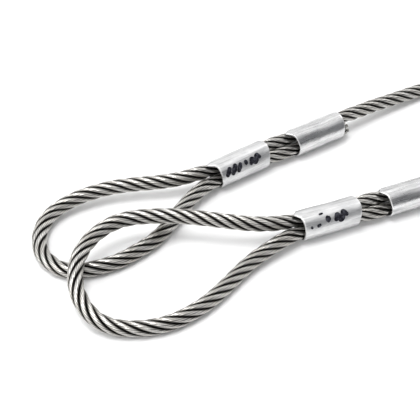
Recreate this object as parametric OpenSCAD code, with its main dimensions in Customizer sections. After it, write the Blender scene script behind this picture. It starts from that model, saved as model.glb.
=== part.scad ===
// Wire rope sling: one length of steel wire rope with a soft eye at each end, doubled
// over on itself. Each eye is closed by two pressed aluminium ferrules, and the rope's
// cut end just clears the outer ferrule. Millimetres, +Z up, lying on z = 0.

/* [Rope] */
// Diameter of the laid rope
rope_d = 10; // [8:0.5:10.5]
// Diameter of one rope leg squeezed inside a ferrule
leg_d = 7.6; // [6:0.1:8.2]
// Diameter of one rope leg between the two ferrules
gap_leg_d = 8.4; // [7:0.1:8.5]
// Length of cut rope showing past the outer ferrule
tail_len = 4; // [1:0.5:8]

/* [Ferrules] */
// Outer diameter of a pressed ferrule
ferrule_od = 20; // [19.5:0.5:24]
// Length of a pressed ferrule
ferrule_len = 42.5; // [35:0.5:52]
// Bevel on a ferrule's end edges
ferrule_bevel = 0.8; // [0.3:0.1:1.5]
// Metal left between the two rope legs
ferrule_web = 0.4; // [0.3:0.1:1.2]
// Height of the line that the press dies leave along a ferrule
die_line_h = 0.25; // [0.1:0.05:0.5]
// Width of that line
die_line_w = 0.7; // [0.4:0.1:1.5]

/* [Hidden] */
// Radial room between a squeezed leg and its passage
leg_clearance = 0.1;
// Room between two strands at a cut end
strand_clearance = 0.06;
// Gap kept between the two legs in the open stretch between ferrules
gap_leg_clearance = 0.2;
// How far the two legs' plane leans up from the floor, live leg uppermost
leg_tilt = 40;
// How far the die lines stand round a ferrule from its top and bottom
die_line_turn = 62;
// How deep the loose strand ends reach back into the outer ferrule
strand_hold = 4;
// How far the live rope runs straight out of the ferrule beyond the cut end beside it
lead_out = 1;
// Strands laid round the rope's core
strand_count = 6;
// How far a bore's cutter runs past a ferrule's faces
cut_past = 1;
// Sides of the rope's plain tube
tube_sides = 12;
// Height of a ferrule's axis, as it lies on the floor
axis_z = ferrule_od / 2;
// Facets on true round shapes
round_fn = 48;

bore_d = leg_d + 2 * leg_clearance;
leg_spacing = bore_d + ferrule_web;
gap_leg_spacing = gap_leg_d + gap_leg_clearance;
strand_d = leg_d / 3 - strand_clearance;
strand_ring_r = leg_d / 3;

// One end of the sling: [eye-side face of the inner ferrule, its heading,
// rope-side face of the outer ferrule, its heading]
REAR = [[-156.5, 36], 5, [-50, 41.5], 3];
FRONT = [[-133, -33], -7.5, [-29.5, -46], -6];

// Rope centre-line points, from the live leg's mouth round to the dead leg's mouth
REAR_EYE = [
    [-167, 39.5, 13.5], [-180, 41.5, 12.5], [-193, 45.5, 12], [-206, 51, 11.5], [-219, 56, 11],
    [-232, 59.5, 10], [-245, 61, 9], [-257, 60.5, 7.5], [-268, 57, 6.5], [-277, 49.5, 5.5],
    [-282.5, 40, 5], [-285, 30, 5], [-284, 19.5, 5], [-279, 9, 5], [-270, 3, 5],
    [-258, 0, 5], [-245, -1, 5], [-232, 1, 5], [-219.5, 4, 5], [-208, 9, 5.5],
    [-198, 15.5, 6], [-188, 21.5, 6.5], [-178, 26.5, 7.5], [-167, 30.5, 8.5]
];
FRONT_NECK_LIVE = [[-143, -28.5, 14], [-153, -26, 15.5], [-163, -22, 17]];
FRONT_EYE = [
    [-163, -22, 17], [-174, -15.5, 18.5], [-184.5, -8.5, 19.5], [-195, -1, 20],
    [-205.5, 6, 20], [-216.5, 12, 19.5], [-228, 16.5, 19.5], [-240, 18, 19],
    [-252, 15.5, 18], [-262.5, 9.5, 17.5], [-270.5, 2, 16.5], [-276, -7, 15],
    [-279.5, -17, 13], [-280, -27.5, 10.5], [-278, -37, 8], [-272, -46, 6],
    [-262, -53, 5], [-249, -58.5, 5], [-236, -60.5, 5], [-223, -59.5, 5],
    [-210, -56.5, 5], [-197, -51.5, 5], [-184, -46, 5.5], [-173, -42, 6]
];
FRONT_NECK_DEAD = [[-173, -42, 6], [-161, -39.5, 7], [-147, -37.5, 8.5]];
REAR_FLEX = [[-29, 46, 11], [-17, 47.5, 10], [-5, 48, 9]];
REAR_RUN = [
    [-5, 48, 9], [20, 49.5, 7], [45, 50.5, 5.5], [72, 51.5, 5], [100, 52.5, 5], [128, 54.5, 5],
    [155, 58.5, 5], [178, 63, 5], [200, 66, 5], [222, 66.5, 5], [243, 62, 5], [261, 52, 5],
    [274, 37.5, 5], [282, 20, 5], [284, 11, 5]
];
BIGHT = [[284, 11, 5], [285, 0, 5], [284, -11, 5]];
FRONT_RUN = [
    [284, -11, 5], [282, -20, 5], [274, -37.5, 5], [261, -52, 5], [243, -62, 5],
    [222, -66.5, 5], [200, -66, 5], [178, -63, 5], [152, -58, 5], [124, -53.5, 5],
    [94, -51, 5], [64, -50, 5.5], [38, -49, 7], [16, -47.5, 9]
];
FRONT_FLEX = [[16, -47.5, 9], [4, -46, 10], [-8, -45, 11.5]];

STEEL = "silver";
ALUMINIUM = "gainsboro";
CORE = "dimgray";

// Directions and places

function along(heading) = [cos(heading), sin(heading), 0];
function across(heading) = [-sin(heading), cos(heading), 0];

// From the middle of the two legs to one of them: side is 1 for the live leg, -1 for the dead one
function leg_offset(heading, side, spacing) =
    side * spacing / 2 * (cos(leg_tilt) * across(heading) + sin(leg_tilt) * [0, 0, 1]);

function on_axis(place) = [place[0], place[1], axis_z];
function mouth(end, side) = on_axis(end[0]) + leg_offset(end[1], side, leg_spacing);
function exit(end, side) = on_axis(end[2]) + leg_offset(end[3], side, leg_spacing);

// A point on the pair's middle line, dist past the inner ferrule or short of the outer one
function after_inner(end, dist) = on_axis(end[0]) + (ferrule_len + dist) * along(end[1]);
function before_outer(end, dist) = on_axis(end[2]) - (ferrule_len + dist) * along(end[3]);

// How far into the open stretch the legs spread to their full size there
function spread_dist(end) = norm(before_outer(end, 0) - after_inner(end, 0)) / 3;

// Rope tube: one ring of points at each point of the route, facing that point's direction

function unit(v) = v / norm(v);
// The direction at each point: first and last as given, and in between that of the line
// from the point before to the point after
function directions(route, first, last) =
    [for (i = [0 : len(route) - 1])
        i == 0 ? first : i == len(route) - 1 ? last : unit(route[i + 1] - route[i - 1])];
function ring(centre, direction, radius) =
    let (side = unit(cross([0, 0, 1], direction)), up = cross(direction, side))
    [for (k = [0 : tube_sides - 1])
        let (a = 360 * k / tube_sides)
        centre + radius * (cos(a) * side + sin(a) * up)];

module rope_tube(route, facing, diameters) {
    rings = len(route);
    skin = [for (i = [0 : rings - 1]) each ring(route[i], facing[i], diameters[i] / 2)];
    walls = [for (i = [0 : rings - 2], k = [0 : tube_sides - 1])
        let (a = i * tube_sides + k, b = i * tube_sides + (k + 1) % tube_sides)
        each [[a, a + tube_sides, b], [b, a + tube_sides, b + tube_sides]]];
    start_cap = [for (k = [0 : tube_sides - 1]) k];
    end_cap = [for (k = [tube_sides - 1 : -1 : 0]) (rings - 1) * tube_sides + k];
    polyhedron(points = skin, faces = concat([start_cap], walls, [end_cap]));
}

// The same diameter at every point but the ends, which may be squeezed
function sizes(route, first_d, last_d) =
    [for (i = [0 : len(route) - 1])
        i == 0 ? first_d : i == len(route) - 1 ? last_d : rope_d];

// Where the live rope stops running straight, once it has passed the cut end
function past_tail(end) = exit(end, 1) + (tail_len + lead_out) * along(end[3]);

// The heading of a route at its first or last point, shared by the stretches that meet there
function joint_direction(before, after) = unit(after[1] - before[len(before) - 2]);

// Ferrules and the legs in them

module ferrule_blank() {
    rotate([0, 90, 0])
        rotate_extrude($fn = round_fn)
            polygon([
                [0, 0],
                [ferrule_od / 2 - ferrule_bevel, 0],
                [ferrule_od / 2, ferrule_bevel],
                [ferrule_od / 2, ferrule_len - ferrule_bevel],
                [ferrule_od / 2 - ferrule_bevel, ferrule_len],
                [0, ferrule_len]
            ]);
    for (turn = [die_line_turn, die_line_turn + 180])
        rotate([turn, 0, 0])
            translate([ferrule_bevel, -die_line_w / 2, 0])
                cube([ferrule_len - 2 * ferrule_bevel, die_line_w, ferrule_od / 2 + die_line_h]);
}

// A ferrule with its eye-side face at the origin, along +X
module ferrule() {
    difference() {
        ferrule_blank();
        for (side = [-1, 1])
            rotate([leg_tilt, 0, 0])
                translate([-cut_past, side * leg_spacing / 2, 0])
                    rotate([0, 90, 0])
                        cylinder(d = bore_d, h = ferrule_len + 2 * cut_past, $fn = round_fn);
    }
}

module inner_ferrule(end) {
    color(ALUMINIUM)
        translate(on_axis(end[0]))
            rotate([0, 0, end[1]])
                ferrule();
}

module outer_ferrule(end) {
    color(ALUMINIUM)
        translate(before_outer(end, 0))
            rotate([0, 0, end[3]])
                ferrule();
}

// A leg from the eye-side mouth through both ferrules, stopping stop short of the rope side
module leg(end, side, stop) {
    near = spread_dist(end);
    route = [
        mouth(end, side),
        after_inner(end, 0) + leg_offset(end[1], side, leg_spacing),
        after_inner(end, near) + leg_offset(end[1], side, gap_leg_spacing),
        before_outer(end, near) + leg_offset(end[3], side, gap_leg_spacing),
        before_outer(end, 0) + leg_offset(end[3], side, leg_spacing),
        exit(end, side) - stop * along(end[3])
    ];
    inner = along(end[1]);
    outer = along(end[3]);
    between = unit(inner + outer);
    color(STEEL)
        rope_tube(route, [inner, inner, between, between, outer, outer],
            [leg_d, leg_d, gap_leg_d, gap_leg_d, leg_d, leg_d]);
}

// The cut end: its strands stand round the core, from inside the outer ferrule to past its face
module at_cut_end(end) {
    translate(exit(end, -1) - strand_hold * along(end[3]))
        rotate([0, 0, end[3]])
            rotate([0, 90, 0])
                children();
}

module cut_end_strands(end) {
    color(STEEL)
        at_cut_end(end)
            for (k = [0 : strand_count - 1])
                rotate([0, 0, 360 * k / strand_count])
                    translate([strand_ring_r, 0, 0])
                        cylinder(d = strand_d, h = strand_hold + tail_len, $fn = round_fn);
}

module cut_end_core(end) {
    color(CORE)
        at_cut_end(end)
            cylinder(d = strand_d, h = strand_hold + tail_len, $fn = round_fn);
}

// Stretches of rope

module rear_eye_loop() {
    route = concat([mouth(REAR, 1)], REAR_EYE, [mouth(REAR, -1)]);
    color(STEEL)
        rope_tube(route, directions(route, -along(REAR[1]), along(REAR[1])),
            sizes(route, leg_d, leg_d));
}

module front_neck_rope() {
    live = concat([mouth(FRONT, 1)], FRONT_NECK_LIVE);
    dead = concat(FRONT_NECK_DEAD, [mouth(FRONT, -1)]);
    to_eye = joint_direction(FRONT_NECK_LIVE, FRONT_EYE);
    from_eye = joint_direction(FRONT_EYE, FRONT_NECK_DEAD);
    color(STEEL) {
        rope_tube(live, directions(live, -along(FRONT[1]), to_eye), sizes(live, leg_d, rope_d));
        rope_tube(dead, directions(dead, from_eye, along(FRONT[1])), sizes(dead, rope_d, leg_d));
    }
}

// A stretch of full-size rope between two others, whose ends share their headings
module free_rope(before, route, after) {
    facing = directions(route, joint_direction(before, route), joint_direction(route, after));
    color(STEEL)
        rope_tube(route, facing, sizes(route, rope_d, rope_d));
}

module front_eye_loop() {
    free_rope(FRONT_NECK_LIVE, FRONT_EYE, FRONT_NECK_DEAD);
}

module rear_live_rope() {
    bend = concat([past_tail(REAR)], REAR_FLEX);
    route = concat([exit(REAR, 1)], bend);
    color(STEEL)
        rope_tube(route, directions(route, along(REAR[3]), joint_direction(REAR_FLEX, REAR_RUN)),
            concat([leg_d], sizes(bend, leg_d, rope_d)));
}

module rear_run_of_rope() {
    free_rope(REAR_FLEX, REAR_RUN, BIGHT);
}

module bight_rope() {
    free_rope(REAR_RUN, BIGHT, FRONT_RUN);
}

module front_run_of_rope() {
    free_rope(BIGHT, FRONT_RUN, FRONT_FLEX);
}

module front_live_rope() {
    bend = concat(FRONT_FLEX, [past_tail(FRONT)]);
    route = concat(bend, [exit(FRONT, 1)]);
    color(STEEL)
        rope_tube(route, directions(route, joint_direction(FRONT_RUN, FRONT_FLEX), -along(FRONT[3])),
            concat(sizes(bend, rope_d, leg_d), [leg_d]));
}

inner_ferrule(REAR);  // rear_inner_ferrule
outer_ferrule(REAR);  // rear_outer_ferrule
rear_eye_loop();
leg(REAR, 1, 0);  // rear_live_leg
leg(REAR, -1, strand_hold);  // rear_dead_leg
cut_end_strands(REAR);  // rear_cut_end_strands
cut_end_core(REAR);  // rear_cut_end_core
rear_live_rope();
rear_run_of_rope();
bight_rope();
front_run_of_rope();
front_live_rope();
inner_ferrule(FRONT);  // front_inner_ferrule
outer_ferrule(FRONT);  // front_outer_ferrule
leg(FRONT, 1, 0);  // front_live_leg
leg(FRONT, -1, strand_hold);  // front_dead_leg
cut_end_strands(FRONT);  // front_cut_end_strands
cut_end_core(FRONT);  // front_cut_end_core
front_neck_rope();
front_eye_loop();
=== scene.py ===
"""Visual model of a steel wire rope sling with two soft eyes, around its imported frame. Metres."""

import math
from collections import namedtuple

import bpy
import numpy as np
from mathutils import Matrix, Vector


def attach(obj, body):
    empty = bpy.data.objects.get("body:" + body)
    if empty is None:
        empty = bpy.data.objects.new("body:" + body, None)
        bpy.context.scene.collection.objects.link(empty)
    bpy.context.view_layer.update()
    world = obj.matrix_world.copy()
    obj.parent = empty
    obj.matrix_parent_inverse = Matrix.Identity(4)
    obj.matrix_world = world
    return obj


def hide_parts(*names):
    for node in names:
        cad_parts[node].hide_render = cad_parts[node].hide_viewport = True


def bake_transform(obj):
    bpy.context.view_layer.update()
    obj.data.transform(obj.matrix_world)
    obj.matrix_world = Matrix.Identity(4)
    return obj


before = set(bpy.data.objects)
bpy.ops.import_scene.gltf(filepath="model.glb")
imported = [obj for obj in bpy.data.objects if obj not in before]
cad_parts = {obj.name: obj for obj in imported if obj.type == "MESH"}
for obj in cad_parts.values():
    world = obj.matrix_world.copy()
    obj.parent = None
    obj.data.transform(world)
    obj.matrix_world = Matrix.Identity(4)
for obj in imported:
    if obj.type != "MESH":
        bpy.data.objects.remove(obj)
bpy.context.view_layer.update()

MM = 0.001
UP = np.array([0.0, 0.0, 1.0])
FULL_TURN = 2 * math.pi

# ---------------------------------------------------------------- the sling's sizes

ROPE_D = 10 * MM
LEG_D = 7.6 * MM
LEG_SPACING = 8.2 * MM
GAP_LEG_SPACING = 8.6 * MM
LEG_TILT = math.radians(40)
TAIL = 4 * MM  # How far a cut end stands out of its outer ferrule
LEAD_OUT = 1 * MM  # How far past the cut end the live rope runs straight
FERRULE_OD = 20 * MM
FERRULE_LEN = 42.5 * MM

# Each end: where the inner ferrule's eye-side face is, its heading, where the outer
# ferrule's rope-side face is, and its heading
End = namedtuple("End", "label inner inner_heading outer outer_heading")
REAR = End("rear", (-0.1565, 0.036), 5, (-0.050, 0.0415), 3)
FRONT = End("front", (-0.133, -0.033), -7.5, (-0.0295, -0.046), -6)

# The rope's centre line clear of the ferrules, the same points as the frame's own tubes
REAR_EYE = [
    (-0.167, 0.0395, 0.0135), (-0.180, 0.0415, 0.0125), (-0.193, 0.0455, 0.012),
    (-0.206, 0.051, 0.0115), (-0.219, 0.056, 0.011), (-0.232, 0.0595, 0.010),
    (-0.245, 0.061, 0.009), (-0.257, 0.0605, 0.0075), (-0.268, 0.057, 0.0065),
    (-0.277, 0.0495, 0.0055), (-0.2825, 0.040, 0.005), (-0.285, 0.030, 0.005),
    (-0.284, 0.0195, 0.005), (-0.279, 0.009, 0.005), (-0.270, 0.003, 0.005),
    (-0.258, 0.0, 0.005), (-0.245, -0.001, 0.005), (-0.232, 0.001, 0.005),
    (-0.2195, 0.004, 0.005), (-0.208, 0.009, 0.0055), (-0.198, 0.0155, 0.006),
    (-0.188, 0.0215, 0.0065), (-0.178, 0.0265, 0.0075), (-0.167, 0.0305, 0.0085),
]
FRONT_EYE = [
    (-0.143, -0.0285, 0.014), (-0.153, -0.026, 0.0155), (-0.163, -0.022, 0.017),
    (-0.174, -0.0155, 0.0185), (-0.1845, -0.0085, 0.0195), (-0.195, -0.001, 0.020),
    (-0.2055, 0.006, 0.020), (-0.2165, 0.012, 0.0195), (-0.228, 0.0165, 0.0195),
    (-0.240, 0.018, 0.019), (-0.252, 0.0155, 0.018), (-0.2625, 0.0095, 0.0175),
    (-0.2705, 0.002, 0.0165), (-0.276, -0.007, 0.015), (-0.2795, -0.017, 0.013),
    (-0.280, -0.0275, 0.0105), (-0.278, -0.037, 0.008), (-0.272, -0.046, 0.006),
    (-0.262, -0.053, 0.005), (-0.249, -0.0585, 0.005), (-0.236, -0.0605, 0.005),
    (-0.223, -0.0595, 0.005), (-0.210, -0.0565, 0.005), (-0.197, -0.0515, 0.005),
    (-0.184, -0.046, 0.0055), (-0.173, -0.042, 0.006), (-0.161, -0.0395, 0.007),
    (-0.147, -0.0375, 0.0085),
]
MIDDLE = [
    (-0.029, 0.046, 0.011), (-0.017, 0.0475, 0.010),
    (-0.005, 0.048, 0.009), (0.020, 0.0495, 0.007), (0.045, 0.0505, 0.0055),
    (0.072, 0.0515, 0.005), (0.100, 0.0525, 0.005), (0.128, 0.0545, 0.005),
    (0.155, 0.0585, 0.005), (0.178, 0.063, 0.005), (0.200, 0.066, 0.005),
    (0.222, 0.0665, 0.005), (0.243, 0.062, 0.005), (0.261, 0.052, 0.005),
    (0.274, 0.0375, 0.005), (0.282, 0.020, 0.005), (0.284, 0.011, 0.005),
    (0.285, 0.0, 0.005), (0.284, -0.011, 0.005), (0.282, -0.020, 0.005),
    (0.274, -0.0375, 0.005), (0.261, -0.052, 0.005), (0.243, -0.062, 0.005),
    (0.222, -0.0665, 0.005), (0.200, -0.066, 0.005), (0.178, -0.063, 0.005),
    (0.152, -0.058, 0.005), (0.124, -0.0535, 0.005), (0.094, -0.051, 0.005),
    (0.064, -0.050, 0.0055), (0.038, -0.049, 0.007), (0.016, -0.0475, 0.009),
    (0.004, -0.046, 0.010), (-0.008, -0.045, 0.0115),
]

# ---------------------------------------------------------------- camera

CAMERA_AT = Vector((-0.3748, -0.3573, 0.4113))
CAMERA_HEADING = math.radians(28.64)
CAMERA_DIP = math.radians(44)
CAMERA_FOV = math.radians(26.79)


def add_camera():
    camera = bpy.data.objects.new("camera", bpy.data.cameras.new("camera"))
    look = Vector((
        math.sin(CAMERA_HEADING) * math.cos(CAMERA_DIP),
        math.cos(CAMERA_HEADING) * math.cos(CAMERA_DIP),
        -math.sin(CAMERA_DIP),
    ))
    camera.location = CAMERA_AT
    camera.rotation_euler = look.to_track_quat("-Z", "Y").to_euler()
    camera.data.angle = CAMERA_FOV
    camera.data.clip_start = 0.01
    bpy.context.scene.collection.objects.link(camera)
    bpy.context.scene.camera = camera


add_camera()

# ---------------------------------------------------------------- curves


def unit(v):
    """A vector, or each row of vectors, at a length of 1."""
    return v / np.linalg.norm(v, axis=-1, keepdims=True)


def turns(count):
    """Evenly spaced angles round a full turn."""
    return np.arange(count) / count * FULL_TURN


def along(heading):
    turn = math.radians(heading)
    return np.array([math.cos(turn), math.sin(turn), 0.0])


def across(heading):
    turn = math.radians(heading)
    return np.array([-math.sin(turn), math.cos(turn), 0.0])


def leg_offset(heading, side, spacing):
    """From the middle of a pair of legs to the live one (side 1) or the dead one (side -1)."""
    lean = math.cos(LEG_TILT) * across(heading) + math.sin(LEG_TILT) * UP
    return side * spacing / 2 * lean


def on_axis(place):
    return np.array([place[0], place[1], FERRULE_OD / 2])


def mouth(end, side, depth=0.0):
    """A leg's centre at the inner ferrule's eye-side face, or depth inside it."""
    ahead = along(end.inner_heading)
    return on_axis(end.inner) + leg_offset(end.inner_heading, side, LEG_SPACING) + depth * ahead


def exit_of(end, side, depth=0.0):
    """A leg's centre at the outer ferrule's rope-side face, or depth inside it."""
    ahead = along(end.outer_heading)
    return on_axis(end.outer) + leg_offset(end.outer_heading, side, LEG_SPACING) - depth * ahead


def placed(local, place, heading):
    """Points measured along, across and up from a ferrule's axis, put where that ferrule is."""
    return on_axis(place) + local @ np.stack([along(heading), across(heading), UP])


SPLINE_SAMPLES = 24  # Points from one route point to the next, before they are resampled


def spline(points, step):
    """A smooth curve through points, resampled at even steps along its length."""
    p = np.array(points, float)
    q = np.vstack([2 * p[0] - p[1], p, 2 * p[-1] - p[-2]])
    t = np.linspace(0, 1, SPLINE_SAMPLES, endpoint=False)[:, None]
    runs = [
        0.5 * (2 * b + (c - a) * t + (2 * a - 5 * b + 4 * c - d) * t**2
               + (3 * b - a - 3 * c + d) * t**3)
        for a, b, c, d in zip(q, q[1:], q[2:], q[3:])
    ]
    return even(np.vstack(runs + [p[-1:]]), step)


def smooth(x):
    x = np.clip(x, 0, 1)
    return x * x * (3 - 2 * x)


def lengths(line):
    return np.r_[0, np.cumsum(np.linalg.norm(np.diff(line, axis=0), axis=1))]


def even(line, step):
    s = lengths(line)
    at = np.linspace(0, s[-1], max(2, round(s[-1] / step)) + 1)
    return np.stack([np.interp(at, s, line[:, k]) for k in range(3)], axis=1)


def eased(line, reach, step):
    """The line with its bends evened out over reach, and its ends where they were."""
    width = max(1, round(reach / step))
    weights = np.hanning(2 * width + 3)[1:-1]
    weights = weights / weights.sum()
    before = 2 * line[0] - line[width:0:-1]
    after = 2 * line[-1] - line[-2:-width - 2:-1]
    padded = np.vstack([before, line, after])
    return np.stack([np.convolve(padded[:, k], weights, "valid") for k in range(3)], axis=1)


def frames(line):
    """Along, sideways and upward directions at each point of a line that never stands up."""
    ahead = unit(np.gradient(line, axis=0))
    side = unit(np.cross(UP, ahead))
    return ahead, side, np.cross(ahead, side)


# ---------------------------------------------------------------- laid rope

RING_STEP = 1.25 * MM
LAY = 56 * MM  # One turn of the strands round the core
STRANDS = 6
STRAND_SHARE = 0.335  # A strand's diameter as a share of the rope's
WIRES = 9
WIRE_LAY = 24 * MM  # One turn of the wires round their strand
POINTS_PER_WIRE = 5
WIRE_DEPTH = 0.15  # The grooves between wires, as a share of the strand's radius
WIRE_ROUNDNESS = 1.3
CORE_SIDES = 10
CORE_SPARE = 0.1 * MM  # How far the core reaches in among the strands
DARK_TURNED = -0.15  # The cosine of the turn from the rope's outside where no light gets in
LIGHT_RANGE = 1.1  # How far that cosine rises until the light is full
GROOVE_LIGHT = 0.62  # The light down between two wires, against that on top of one


def strand_profile():
    """A ring of round wires at a radius of 1: each point's turn, its radius and how far out it is."""
    turn = turns(WIRES * POINTS_PER_WIRE)
    bulge = np.abs(np.cos(turn * WIRES / 2))
    return turn, 1 - WIRE_DEPTH * (1 - bulge) ** WIRE_ROUNDNESS, bulge


def skin_faces(rings, sides, first=0):
    """The faces of a closed tube of rings, with a cap on each end."""
    faces = []
    for i in range(rings - 1):
        a = first + i * sides
        for k in range(sides):
            n = (k + 1) % sides
            faces.append((a + k, a + n, a + sides + n, a + sides + k))
    faces.append(tuple(first + k for k in reversed(range(sides))))
    faces.append(tuple(first + (rings - 1) * sides + k for k in range(sides)))
    return faces


def laid_rope(line, diameters, start):
    """Vertices, faces and how open to the light each vertex is, for six strands round a core."""
    _, side, up = frames(line)
    s = start + lengths(line)
    rings = len(line)
    turn, out, bulge = strand_profile()
    verts, faces, light = [], [], []
    total = 0
    for k in range(STRANDS):
        angle = FULL_TURN * (s / LAY + k / STRANDS)
        outward = np.cos(angle)[:, None] * side + np.sin(angle)[:, None] * up
        radius = diameters * STRAND_SHARE / 2
        centre = line + (diameters / 2 - radius)[:, None] * outward
        strand_ahead = unit(np.gradient(centre, axis=0))
        a = unit(outward - (outward * strand_ahead).sum(1)[:, None] * strand_ahead)
        b = np.cross(strand_ahead, a)
        spin = turn[None, :] - (FULL_TURN * s / WIRE_LAY)[:, None]
        wide = (radius[:, None] * out[None, :])[:, :, None]
        ring = centre[:, None] + wide * (
            np.cos(spin)[:, :, None] * a[:, None] + np.sin(spin)[:, :, None] * b[:, None]
        )
        verts.append(ring.reshape(-1, 3))
        faces += skin_faces(rings, len(turn), total)
        total += rings * len(turn)
        # How open each point is to the light; the rope's material paints shade from it.
        face_out = smooth((np.cos(spin) - DARK_TURNED) / LIGHT_RANGE)
        on_wire = GROOVE_LIGHT + (1 - GROOVE_LIGHT) * bulge[None, :]
        light.append((face_out * on_wire).ravel())
    core_turn = turns(CORE_SIDES)[None, :, None]
    core_r = diameters * (0.5 - STRAND_SHARE) + CORE_SPARE
    core = line[:, None] + core_r[:, None, None] * (
        np.cos(core_turn) * side[:, None] + np.sin(core_turn) * up[:, None]
    )
    verts.append(core.reshape(-1, 3))
    faces += skin_faces(rings, CORE_SIDES, total)
    light.append(np.zeros(rings * CORE_SIDES))
    return np.vstack(verts), faces, np.concatenate(light)


def new_piece(name, verts, faces, material, body=None, light=None):
    """A mesh object. It rides on body, if one is given."""
    mesh = bpy.data.meshes.new(name)
    mesh.from_pydata([tuple(v) for v in verts], [], faces)
    mesh.polygons.foreach_set("use_smooth", [len(face) == 4 for face in faces])
    if light is not None:
        open_to_light = mesh.attributes.new("open_to_light", "FLOAT", "POINT")
        open_to_light.data.foreach_set("value", light)
    mesh.validate()
    mesh.materials.append(material)
    piece = bpy.data.objects.new(name, mesh)
    bpy.context.scene.collection.objects.link(piece)
    if body:
        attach(piece, body)
    return piece


# ---------------------------------------------------------------- materials


def new_material(name, colour, metallic, roughness):
    material = bpy.data.materials.new(name)
    material.use_nodes = True
    shader = material.node_tree.nodes["Principled BSDF"]
    shader.inputs["Base Color"].default_value = (*colour, 1)
    shader.inputs["Metallic"].default_value = metallic
    shader.inputs["Roughness"].default_value = roughness
    return material, material.node_tree, shader


def add(tree, kind, **values):
    node = tree.nodes.new(kind)
    for key, value in values.items():
        if key in node.inputs:
            node.inputs[key].default_value = value
        else:
            setattr(node, key, value)
    return node


def ramp(tree, fac, stops):
    node = tree.nodes.new("ShaderNodeValToRGB")
    elements = node.color_ramp.elements
    while len(elements) < len(stops):
        elements.new(1)
    for element, (at, colour) in zip(elements, stops):
        element.position = at
        element.color = (*colour, 1)
    tree.links.new(fac, node.inputs["Fac"])
    return node.outputs["Color"]


def grey(value):
    return (value, value, value)


def read(tree, name):
    return add(tree, "ShaderNodeAttribute", attribute_name=name).outputs


def noise(tree, vector, scale, stretch=(1, 1, 1), detail=4.0, rough=0.6):
    mapping = add(tree, "ShaderNodeMapping")
    mapping.inputs["Scale"].default_value = stretch
    tree.links.new(vector, mapping.inputs["Vector"])
    node = add(tree, "ShaderNodeTexNoise", Scale=scale, Detail=detail, Roughness=rough)
    tree.links.new(mapping.outputs["Vector"], node.inputs["Vector"])
    return node.outputs["Fac"]


def multiplied(tree, fac, a, b):
    mix = add(tree, "ShaderNodeMix", data_type="RGBA", blend_type="MULTIPLY")
    mix.inputs["Factor"].default_value = fac
    tree.links.new(a, mix.inputs["A"])
    tree.links.new(b, mix.inputs["B"])
    return mix.outputs["Result"]


def bump(tree, shader, height, strength, distance):
    node = add(tree, "ShaderNodeBump", Strength=strength, Distance=distance)
    tree.links.new(height, node.inputs["Height"])
    tree.links.new(node.outputs["Normal"], shader.inputs["Normal"])


def rope_steel():
    """Bright drawn wire, rougher down between the strands, with painted shade darkening its colour
    there.
    """
    material, tree, shader = new_material("rope_steel", (0.6, 0.58, 0.55), 1.0, 0.36)
    position = add(tree, "ShaderNodeTexCoord").outputs["Object"]
    openness = read(tree, "open_to_light")["Fac"]
    # Painted shade: the colour goes almost black where strands and wires face in, away from the rope's
    # outside.
    shade = ramp(tree, openness, [
        (0.0, (0.002, 0.002, 0.002)), (0.22, (0.006, 0.0055, 0.005)),
        (0.48, (0.045, 0.043, 0.040)), (0.74, (0.25, 0.244, 0.233)), (0.95, (0.82, 0.81, 0.785)),
    ])
    patches = ramp(tree, noise(tree, position, scale=90.0), [
        (0.3, (0.78, 0.76, 0.73)), (0.7, grey(1.0)),
    ])
    tone = multiplied(tree, 1.0, shade, patches)
    grain = ramp(tree, noise(tree, position, scale=1400.0, detail=2.0), [
        (0.35, grey(0.86)), (0.65, grey(1.0)),
    ])
    tree.links.new(multiplied(tree, 1.0, tone, grain), shader.inputs["Base Color"])
    dull = ramp(tree, openness, [(0.1, grey(0.6)), (0.75, grey(0.30))])
    tree.links.new(dull, shader.inputs["Roughness"])
    bump(tree, shader, noise(tree, position, scale=900.0), strength=0.25, distance=0.04 * MM)
    return material


def ferrule_aluminium(name, smoothest, roughest):
    """Cold pressed aluminium: pale, satin, with drawn lines and small scuffs along it."""
    material, tree, shader = new_material(name, (0.7, 0.7, 0.71), 1.0, 0.3)
    position = read(tree, "drawn")["Vector"]
    cloud = noise(tree, position, scale=120.0, stretch=(1, 1.6, 1.6))
    colour = ramp(tree, cloud, [(0.3, (0.59, 0.593, 0.60)), (0.62, (0.71, 0.71, 0.71))])
    scuffs = noise(tree, position, scale=1500.0, stretch=(0.09, 1, 1), detail=6.0, rough=0.7)
    lines = ramp(tree, scuffs, [(0.28, grey(0.6)), (0.44, grey(1.0))])
    streaks = noise(tree, position, scale=520.0, stretch=(0.06, 1, 1), detail=3.0)
    bands = ramp(tree, streaks, [(0.30, grey(0.62)), (0.45, grey(0.92)), (0.66, grey(1.12))])
    marked = multiplied(tree, 0.85, colour, lines)
    tree.links.new(multiplied(tree, 0.9, marked, bands), shader.inputs["Base Color"])
    satin = ramp(tree, noise(tree, position, scale=420.0, stretch=(0.15, 1, 1)), [
        (0.3, grey(smoothest)), (0.7, grey(roughest)),
    ])
    tree.links.new(satin, shader.inputs["Roughness"])
    bump(tree, shader, scuffs, strength=0.4, distance=0.08 * MM)
    return material


def dark_recess():
    """The inside of a ferrule's mouth, painted dark as shade, with mottled grime."""
    material, tree, shader = new_material("ferrule_inside_shaded", (0.1, 0.1, 0.1), 1.0, 0.6)
    position = read(tree, "drawn")["Vector"]
    # Painted shade: far darker than the aluminium outside, mottled with grime.
    shade_and_grime = ramp(tree, noise(tree, position, scale=500.0), [
        (0.3, grey(0.05)), (0.7, grey(0.34)),
    ])
    tree.links.new(shade_and_grime, shader.inputs["Base Color"])
    return material


def cut_wire_steel():
    """Sheared wire ends, some bright and some dark with grease."""
    material, tree, shader = new_material("cut_wire_steel", (0.5, 0.49, 0.47), 1.0, 0.4)
    position = add(tree, "ShaderNodeTexCoord").outputs["Object"]
    tone = ramp(tree, noise(tree, position, scale=480.0), [
        (0.42, (0.03, 0.028, 0.026)), (0.58, (0.55, 0.54, 0.51)),
    ])
    tree.links.new(tone, shader.inputs["Base Color"])
    return material


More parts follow.
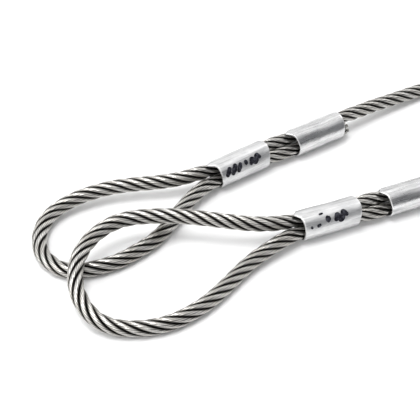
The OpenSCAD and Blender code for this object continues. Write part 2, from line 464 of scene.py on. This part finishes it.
def marker_ink():
    """Matt black ink, worn thin in places."""
    material, tree, shader = new_material("marker_ink", (0.012, 0.012, 0.016), 0.0, 0.6)
    shader.inputs["Specular IOR Level"].default_value = 0.12
    position = add(tree, "ShaderNodeTexCoord").outputs["Object"]
    tone = ramp(tree, noise(tree, position, scale=650.0), [
        (0.45, (0.006, 0.006, 0.010)), (0.75, (0.09, 0.092, 0.11)),
    ])
    tree.links.new(tone, shader.inputs["Base Color"])
    return material


ROPE_STEEL = rope_steel()
ALUMINIUM = ferrule_aluminium("ferrule_aluminium", 0.2, 0.38)
HANDLED_ALUMINIUM = ferrule_aluminium("handled_ferrule_aluminium", 0.34, 0.5)
RECESS = dark_recess()
CUT_STEEL = cut_wire_steel()
INK = marker_ink()

# ---------------------------------------------------------------- the rope's stretches

HIDDEN = 12 * MM  # How far the drawn rope runs on inside a ferrule
SPREAD_OVER = 12 * MM  # How far from a ferrule the rope is back at its full size
MOUTH_D = 8.7 * MM
EXIT_D = 8.0 * MM
GAP_ROPE_D = 9.5 * MM
OPEN_FROM = 0.6 * HIDDEN  # Where in a ferrule its legs start to swell towards the gap
EASE_REACH = 9 * MM
FRONT_EYE_LAY = 21 * MM  # Where in its lay the front eye's rope starts
LEG_LAY = 13 * MM
BIGHT_FROM, BIGHT_TO = 0.33, 0.67  # The bight, as shares of the single rope's length


def squeezed(line, face_d):
    """The rope's diameter along a line that has both ends in ferrules, face_d where it leaves them."""
    s = lengths(line)
    spread = smooth((s - HIDDEN) / SPREAD_OVER) * smooth((s[-1] - s - HIDDEN) / SPREAD_OVER)
    grip = smooth(s / HIDDEN) * smooth((s[-1] - s) / HIDDEN)
    return LEG_D + (face_d - LEG_D) * grip + (ROPE_D - face_d) * spread


def rope_piece(name, line, diameters, start, replaced, body=None):
    verts, faces, light = laid_rope(line, diameters, start)
    piece = new_piece(name, verts, faces, ROPE_STEEL, body, light)
    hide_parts(*replaced)
    return piece


def eye_line(end, points):
    route = [mouth(end, 1, HIDDEN), mouth(end, 1), *points, mouth(end, -1), mouth(end, -1, HIDDEN)]
    return eased(spline(route, RING_STEP), EASE_REACH, RING_STEP)


def make_rear_eye():
    line = eye_line(REAR, REAR_EYE)
    piece = rope_piece("rear_eye_rope", line, squeezed(line, MOUTH_D), 0.0,
                       ["rear_eye_loop"], "rear_end")


def make_front_eye():
    line = eye_line(FRONT, FRONT_EYE)
    piece = rope_piece("front_eye_rope", line, squeezed(line, MOUTH_D), FRONT_EYE_LAY,
                       ["front_eye_loop", "front_neck_rope"])
    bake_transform(piece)


def make_middle():
    """The single rope from one outer ferrule round the bight to the other, in three stretches."""
    past_tail = -(TAIL + LEAD_OUT)
    route = [
        exit_of(REAR, 1, HIDDEN), exit_of(REAR, 1), exit_of(REAR, 1, past_tail), *MIDDLE,
        exit_of(FRONT, 1, past_tail), exit_of(FRONT, 1), exit_of(FRONT, 1, HIDDEN),
    ]
    line = eased(spline(route, RING_STEP), EASE_REACH, RING_STEP)
    sizes = squeezed(line, EXIT_D)
    s = lengths(line)
    bight_first, bight_last = (
        int(np.searchsorted(s, s[-1] * share)) for share in (BIGHT_FROM, BIGHT_TO)
    )

    def stretch(name, first, last, replaced):
        part = slice(first, last + 1)
        return rope_piece(name, line[part], sizes[part], s[first], replaced), line[part]

    rear, rear_line = stretch("rear_run", 0, bight_first, ["rear_live_rope", "rear_run_of_rope"])
    bight, bight_line = stretch("bight", bight_first, bight_last, ["bight_rope"])
    front, front_line = stretch("front_run", bight_last, len(line) - 1,
                                ["front_run_of_rope", "front_live_rope"])
    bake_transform(rear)
    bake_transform(bight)
    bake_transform(front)


def gap_face(end):
    """The middle of the outer ferrule's face that looks at the inner one."""
    return on_axis(end.outer) - FERRULE_LEN * along(end.outer_heading)


def make_legs(end):
    """The two squeezed legs in the open stretch between an end's two ferrules."""
    inner_ahead, outer_ahead = along(end.inner_heading), along(end.outer_heading)
    inner_face = on_axis(end.inner) + FERRULE_LEN * inner_ahead
    outer_face = gap_face(end)
    third = (outer_face - inner_face) / 3
    for side, word in ((1, "live"), (-1, "dead")):
        inner = leg_offset(end.inner_heading, side, LEG_SPACING)
        outer = leg_offset(end.outer_heading, side, LEG_SPACING)
        wide = leg_offset((end.inner_heading + end.outer_heading) / 2, side, GAP_LEG_SPACING)
        route = [
            inner_face + inner - HIDDEN * inner_ahead, inner_face + inner,
            inner_face + third + wide, outer_face - third + wide,
            outer_face + outer, outer_face + outer + HIDDEN * outer_ahead,
        ]
        line = spline(route, RING_STEP)
        s = lengths(line)
        opening = smooth((s - OPEN_FROM) / HIDDEN) * smooth((s[-1] - s - OPEN_FROM) / HIDDEN)
        sizes = LEG_D + (GAP_ROPE_D - LEG_D) * opening
        rope_piece(f"{end.label}_{word}_leg_rope", line, sizes, LEG_LAY * side,
                   [f"{end.label}_{word}_leg"], f"{end.label}_end")


make_rear_eye()
make_front_eye()
make_middle()
make_legs(REAR)
make_legs(FRONT)

# ---------------------------------------------------------------- ferrules

ROUND_STEPS = 144
BODY_IN = 0.1 * MM  # How far the body lies inside the nominal diameter, before its dents
DENTS = (  # How deep, how many round the ferrule, and the length over which they turn a radian
    (0.06 * MM, 2, 9 * MM),
    (0.045 * MM, 3, -5 * MM),
    (0.025 * MM, 7, 3 * MM),
)
DIE_LINE_TURN = math.radians(8)
DIE_LINE_H = 0.22 * MM
DIE_LINE_HALF_W = 0.3 * MM
SIDE_RINGS = np.linspace(0.03, 0.97, 36)  # As shares of the way between the rounded ends

END_IN = 0.3 * MM  # How far each end stands in from the nominal length
END_WAVE = 0.25 * MM
SIDES_BACK = 1.9 * MM  # How far the sides lie behind the die lines, at the end away from the eye
EYE_SIDES_BACK = 0.3 * SIDES_BACK
END_ROUND = 0.9 * MM
ROUND_RINGS = 7
RIM = 0.85 * MM
RIM_SLOPE = 0.15 * MM

LIP_TURN = math.radians(-12)
LIP_HALF_TURN = 0.36
FLARE = 0.35 * MM
FLARE_SHARE = 1 / 9  # The share of the ferrule's length over which a lip's flare dies out

RECESS_DEPTH = 3.5 * MM
RECESS_RINGS = (0.12, 0.3, 0.55, 0.8, 1.0)
RECESS_CURVE = 0.7
PASSAGE_HALF_W = 8.3 * MM  # The oval round both legs at the bottom of a recess
PASSAGE_HALF_H = 5.2 * MM


def turned_from(turn, target):
    """How far each turn is from target, between minus and plus half a turn."""
    return (turn - target + math.pi) % FULL_TURN - math.pi


def ferrule_rings(phase, lip):
    """Rings of points from one recess, over the outside, to the other, and which are recess.

    The ends aren't flat. Their sides lie back from the die lines at top and bottom, and at the
    eye side a lip of squeezed-out metal stands out beside the top line.
    """
    turn = turns(ROUND_STEPS)
    from_top = turned_from(turn, DIE_LINE_TURN)
    from_bottom = turned_from(turn, DIE_LINE_TURN + math.pi)
    to_line = np.minimum(np.abs(from_top), np.abs(from_bottom)) * FERRULE_OD / 2
    ridge = DIE_LINE_H * np.exp(-(to_line / DIE_LINE_HALF_W) ** 2)
    top_lip = np.exp(-(turned_from(turn, LIP_TURN) / LIP_HALF_TURN) ** 2)
    lean = turn - (LEG_TILT - math.pi / 2)
    passage = np.hypot(PASSAGE_HALF_W * np.cos(lean), PASSAGE_HALF_H * np.sin(lean))

    def outside(x):
        dents = sum(
            depth * np.sin(count * turn + x / pitch + number * phase)
            for number, (depth, count, pitch) in enumerate(DENTS, 1)
        )
        return FERRULE_OD / 2 - BODY_IN + dents

    def end_rings(edge, inward):
        """From the rounded edge's outer side, over the rim and down into the recess."""
        wall = outside(edge.mean())
        mouth_r = wall - RIM
        rings = [
            (edge + inward * END_ROUND * (1 - math.sin(a)), wall - END_ROUND * (1 - math.cos(a)), False)
            for a in np.linspace(0, math.pi / 2, ROUND_RINGS)
        ]
        rings.append((edge + inward * RIM_SLOPE, mouth_r, False))
        for share in RECESS_RINGS:
            radius = passage + (mouth_r - passage) * (1 - share) ** RECESS_CURVE
            rings.append((edge + inward * RECESS_DEPTH * share, radius, True))
        return rings

    wave = END_WAVE * np.sin(3 * turn + 2 * phase)
    back = np.sin(from_top) ** 2
    eye_edge = END_IN + EYE_SIDES_BACK * back - lip * top_lip + wave
    far_edge = FERRULE_LEN - END_IN - SIDES_BACK * back + wave
    start = eye_edge + END_ROUND
    stop = far_edge - END_ROUND
    rings = end_rings(eye_edge, 1)[::-1]
    for share in SIDE_RINGS:
        x = start + (stop - start) * share
        flare = FLARE * top_lip * max(0.0, 1 - share / FLARE_SHARE)
        rings.append((x, outside(x) + ridge + flare, False))
    rings += end_rings(far_edge, -1)
    points = [
        np.stack([x, -radius * np.sin(turn), radius * np.cos(turn)], axis=1)
        for x, radius, _ in rings
    ]
    return points, [in_recess for _, _, in_recess in rings]


def make_ferrule(end, which, phase, lip):
    """A ferrule's shell. Its phase gives it dents and drawn lines unlike the others'."""
    if which == "inner":
        place, heading, material = end.inner, end.inner_heading, HANDLED_ALUMINIUM
    else:
        place, heading, material = gap_face(end)[:2], end.outer_heading, ALUMINIUM
    rings, in_recess = ferrule_rings(phase, lip)
    local = np.vstack(rings)
    node = f"{end.label}_{which}_ferrule"
    piece = new_piece(f"{node}_shell", placed(local, place, heading),
                      skin_faces(len(rings), ROUND_STEPS), material, f"{end.label}_end")
    # The recess faces take the painted-shade material.
    piece.data.materials.append(RECESS)
    for polygon in piece.data.polygons:
        ring = min(polygon.vertices) // ROUND_STEPS
        if any(in_recess[ring:ring + 2]):
            polygon.material_index = 1
    drawn = piece.data.attributes.new("drawn", "FLOAT_VECTOR", "POINT")
    drawn.data.foreach_set("vector", (local + phase).ravel())
    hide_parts(node)


make_ferrule(REAR, "inner", 0.3, 5.0 * MM)
make_ferrule(REAR, "outer", 1.7, 4.6 * MM)
make_ferrule(FRONT, "inner", 2.9, 3.2 * MM)
make_ferrule(FRONT, "outer", 4.4, 3.8 * MM)

# ---------------------------------------------------------------- marker strokes

INK_LIFT = 0.05 * MM
INK_ACROSS = 7
INK_STEP = 0.25 * MM
INK_EASE = 0.6 * MM
INK_TIP = 0.02  # What is left of a stroke's width, squared, at its very ends
INK_UNEVEN = ((0.07, 0.5 * MM), (0.05, 0.21 * MM))

# Hatching, dots and a wave, each a line of (mm along the ferrule, degrees from its top
# towards the near side, width in mm)
REAR_MARKS = [
    [(4.0, 72, 2.8), (6.2, 56, 3.6), (8.4, 38, 3.0)],
    [(8.4, 74, 2.8), (10.8, 56, 3.8), (13.2, 34, 3.0)],
    [(13.2, 72, 2.6), (15.2, 56, 3.4), (17.2, 38, 2.6)],
    [(19.6, 50, 4.2), (21.0, 48, 4.8), (22.4, 50, 4.2)],
    [(24.0, 66, 2.4), (26.2, 44, 3.4), (28.4, 62, 3.4), (30.6, 38, 3.4), (33.0, 54, 2.4)],
]
FRONT_MARKS = [
    [(4.4, 63, 2.0), (6.0, 59, 2.6)],
    [(8.8, 63, 1.8), (11.8, 57, 2.4)],
    [(15.4, 48, 4.4), (17.2, 46, 5.6), (19.0, 48, 4.4)],
    [(22.0, 62, 2.6), (24.0, 40, 3.6), (26.2, 60, 3.8), (28.6, 34, 3.4), (31.0, 52, 2.6)],
    [(12.0, 20, 1.2), (15.0, 19, 1.4)],
]


def make_marks(end, strokes):
    """Flat strokes wrapped round the near side of an inner ferrule."""
    verts, faces = [], []
    radius = FERRULE_OD / 2 + INK_LIFT
    for stroke in strokes:
        flat = np.array([(x * MM, math.radians(a) * radius, w * MM) for x, a, w in stroke])
        line = eased(spline(flat, INK_STEP), INK_EASE, INK_STEP)
        route = line[:, :2]
        s = lengths(route)
        ahead = unit(np.gradient(route, axis=0))
        square = np.stack([-ahead[:, 1], ahead[:, 0]], axis=1)
        half = line[:, 2] / 2
        to_end = np.clip(np.minimum(s, s[-1] - s) / half, 0, 1)
        half = half * np.sqrt(np.clip(1 - (1 - to_end) ** 2, INK_TIP, 1))
        half = half * (1 + sum(share * np.sin(s / pitch) for share, pitch in INK_UNEVEN))
        first = len(verts)
        for share in np.linspace(-1, 1, INK_ACROSS):
            at = route + share * half[:, None] * square
            turn = at[:, 1] / radius
            local = np.stack([at[:, 0], -radius * np.sin(turn), radius * np.cos(turn)], axis=1)
            verts += list(placed(local, end.inner, end.inner_heading))
        count = len(line)
        for j in range(INK_ACROSS - 1):
            for i in range(count - 1):
                a = first + j * count + i
                faces.append((a, a + 1, a + count + 1, a + count))
    new_piece(f"{end.label}_ferrule_marks", verts, faces, INK, f"{end.label}_end")


make_marks(REAR, REAR_MARKS)
make_marks(FRONT, FRONT_MARKS)

# ---------------------------------------------------------------- cut ends of the rope

WIRE_D = 0.5 * MM
WIRE_SIDES = 10
WIRE_FILL = 0.97  # A wire's own diameter as a share of the room it has
WIRE_RINGS = ((0, 1), (1, 6), (2, 12))  # Each layer's number and its count of wires
WIRE_DOME = 0.25  # How long the domed end of a wire is, as a share of the wire's radius
WIRE_END = 0.8  # How wide it still is at the very end
WIRE_SHORT = 0.15 * MM
WIRE_UNEVEN = 0.12 * MM
STRAND_TURN = 0.3  # How far each strand's wires are turned from those of the one before
STRAND_HOLD = 4 * MM  # How far the wires start inside the ferrule
SPLAY = 0.12


def add_wire(verts, faces, foot, ahead, side, up, length):
    """A round wire with a slightly domed, sheared end."""
    first = len(verts)
    radius = WIRE_D / 2 * WIRE_FILL
    rings = ((0, 1), (length - WIRE_DOME * radius, 1), (length, WIRE_END))
    for reach, share in rings:
        for a in turns(WIRE_SIDES):
            spoke = math.cos(a) * side + math.sin(a) * up
            verts.append(foot + reach * ahead + share * radius * spoke)
    faces += skin_faces(len(rings), WIRE_SIDES, first)


def make_cut_end(end):
    """The rope's cut end: the wires of its six strands, splayed a little, and of its core."""
    ahead, side = along(end.outer_heading), across(end.outer_heading)
    foot = exit_of(end, -1, STRAND_HOLD)
    strands = [(LEG_D / 3, a) for a in turns(STRANDS)]
    for word, slot, places in (
        ("strands", "cut_strand", strands),
        ("core", "rope_core", [(0.0, 0.0)]),
    ):
        verts, faces = [], []
        for index, (reach, angle) in enumerate(places):
            outward = math.cos(angle) * side + math.sin(angle) * UP
            centre = foot + reach * outward
            lean = unit(ahead + SPLAY * outward) if reach else ahead
            for layer, count in WIRE_RINGS:
                for k in range(count):
                    a = FULL_TURN * k / count + STRAND_TURN * index
                    at = centre + layer * WIRE_D * (math.cos(a) * side + math.sin(a) * UP)
                    uneven = WIRE_UNEVEN * math.sin(5.3 * k + 2.1 * layer + 1.7 * index)
                    length = STRAND_HOLD + TAIL - WIRE_SHORT + uneven
                    add_wire(verts, faces, at, lean, side, UP, length)
        piece = new_piece(f"{end.label}_cut_wire_{word}", verts, faces, CUT_STEEL,
                          f"{end.label}_end")
        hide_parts(f"{end.label}_cut_end_{word}")


make_cut_end(REAR)
make_cut_end(FRONT)

# ---------------------------------------------------------------- floor and light


FLOOR_HALF = 6.0
LIT_POINT = (-0.1, 0.0, 0.0)
DARK_TOWARDS = (0.42, -0.85, 0.32)


def add_floor():
    corners = ((-1, -1), (1, -1), (1, 1), (-1, 1))
    verts = [(x * FLOOR_HALF, y * FLOOR_HALF, 0) for x, y in corners]
    mesh = bpy.data.meshes.new("floor")
    mesh.from_pydata(verts, [], [(0, 1, 2, 3)])
    material, _, shader = new_material("floor_white", (0.93, 0.93, 0.93), 0.0, 0.75)
    shader.inputs["Specular IOR Level"].default_value = 0.2
    mesh.materials.append(material)
    floor = bpy.data.objects.new("floor", mesh)
    bpy.context.scene.collection.objects.link(floor)


def add_area(name, at, size, power):
    """A rectangular light that faces LIT_POINT."""
    light = bpy.data.lights.new(name, "AREA")
    light.shape = "RECTANGLE"
    light.size, light.size_y = size
    light.energy = power
    holder = bpy.data.objects.new(name, light)
    holder.location = at
    holder.rotation_euler = (Vector(LIT_POINT) - Vector(at)).to_track_quat("-Z", "Y").to_euler()
    bpy.context.scene.collection.objects.link(holder)


def add_world():
    """A white studio with one dark patch, low and behind the camera's right, for the metal."""
    world = bpy.data.worlds.new("studio")
    world.use_nodes = True
    tree = world.node_tree
    background = tree.nodes["Background"]
    direction = add(tree, "ShaderNodeTexCoord").outputs["Generated"]
    dark_side = add(tree, "ShaderNodeVectorMath", operation="DOT_PRODUCT")
    dark_side.inputs[1].default_value = DARK_TOWARDS
    tree.links.new(direction, dark_side.inputs[0])
    shade = ramp(tree, dark_side.outputs["Value"], [
        (0.0, grey(0.96)), (0.60, grey(0.86)),
        (0.88, (0.24, 0.244, 0.255)), (1.0, (0.15, 0.153, 0.16)),
    ])
    tree.links.new(shade, background.inputs["Color"])
    background.inputs["Strength"].default_value = 1.12
    bpy.context.scene.world = world


add_floor()
add_world()
add_area("left", (-1.5, 0.3, 1.1), (0.9, 0.9), 7)
add_area("right", (1.3, 0.5, 1.1), (0.9, 0.9), 5)
add_area("above", (-0.4, 0.05, 1.5), (0.7, 0.45), 10)
bpy.context.scene.view_settings.view_transform = "Standard"
